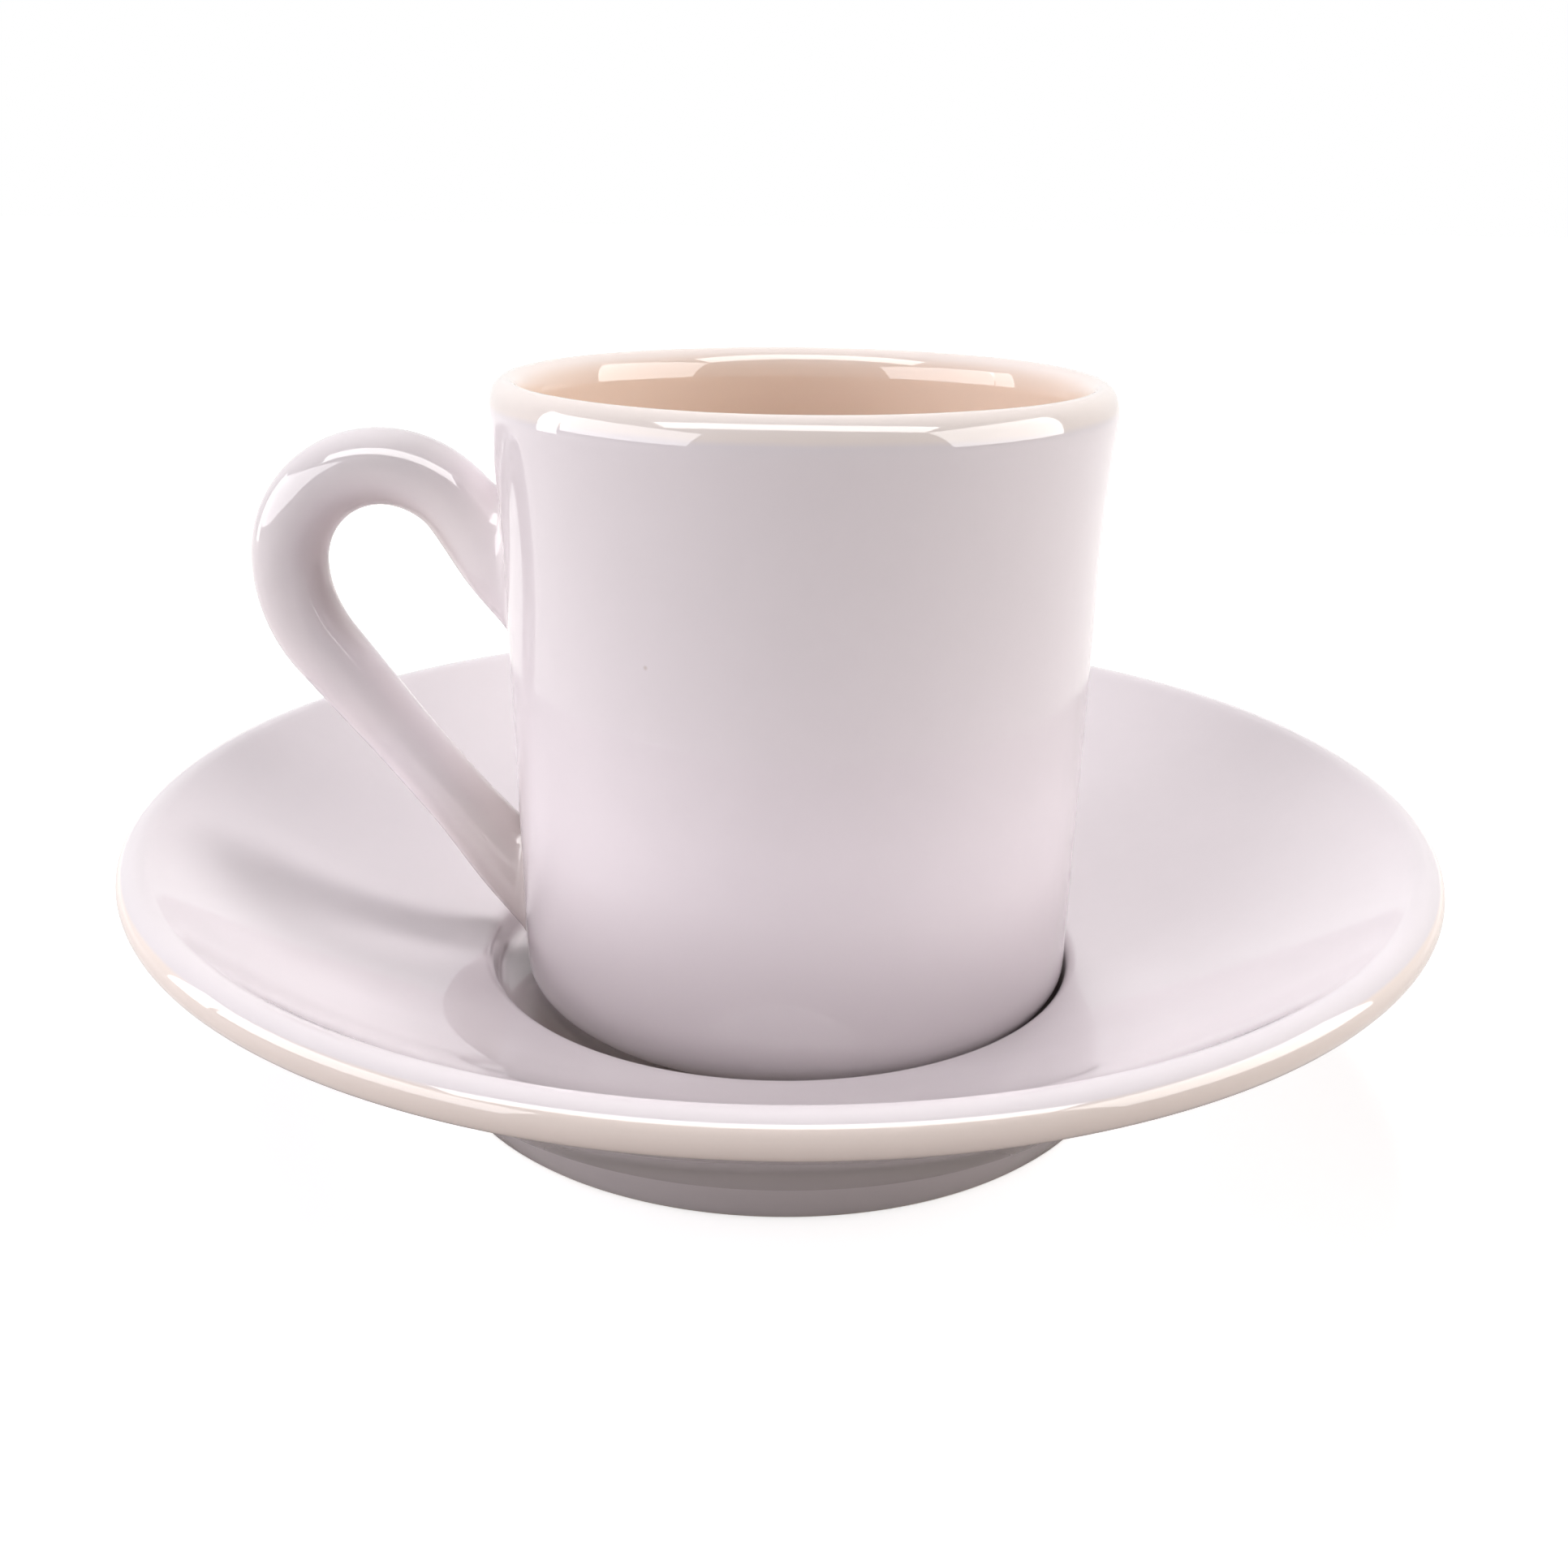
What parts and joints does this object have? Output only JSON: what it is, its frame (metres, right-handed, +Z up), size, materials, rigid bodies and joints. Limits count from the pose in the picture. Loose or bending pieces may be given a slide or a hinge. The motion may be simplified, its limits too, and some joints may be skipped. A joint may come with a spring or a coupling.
{
  "type": "espresso cup with saucer",
  "caption": "White glazed espresso cup with a looped rod handle, standing in the well of a deep footed saucer.",
  "frame": {"origin": "centre of the saucer's foot ring, on the plane it stands on", "axes": "+Z up along the saucer's axis, -X towards the cup's handle, +Y to the left of someone who looks along +X"},
  "size_m": [0.125, 0.125, 0.0674],
  "materials": {
    "saucer_glaze": "glossy white glaze",
    "cup_glaze": "glossy white glaze",
    "handle_glaze": "glossy white glaze"
  },
  "bodies": {
    "saucer": {"saucer": "saucer_glaze"},
    "cup": {"cup_body": "cup_glaze", "cup_handle": "handle_glaze"}
  },
  "joints": [
    {"name": "cup_lift", "type": "slide", "parent": "saucer", "child": "cup", "axis": [0, 0, 1], "range_m": [0, 0.1]}
  ]
}
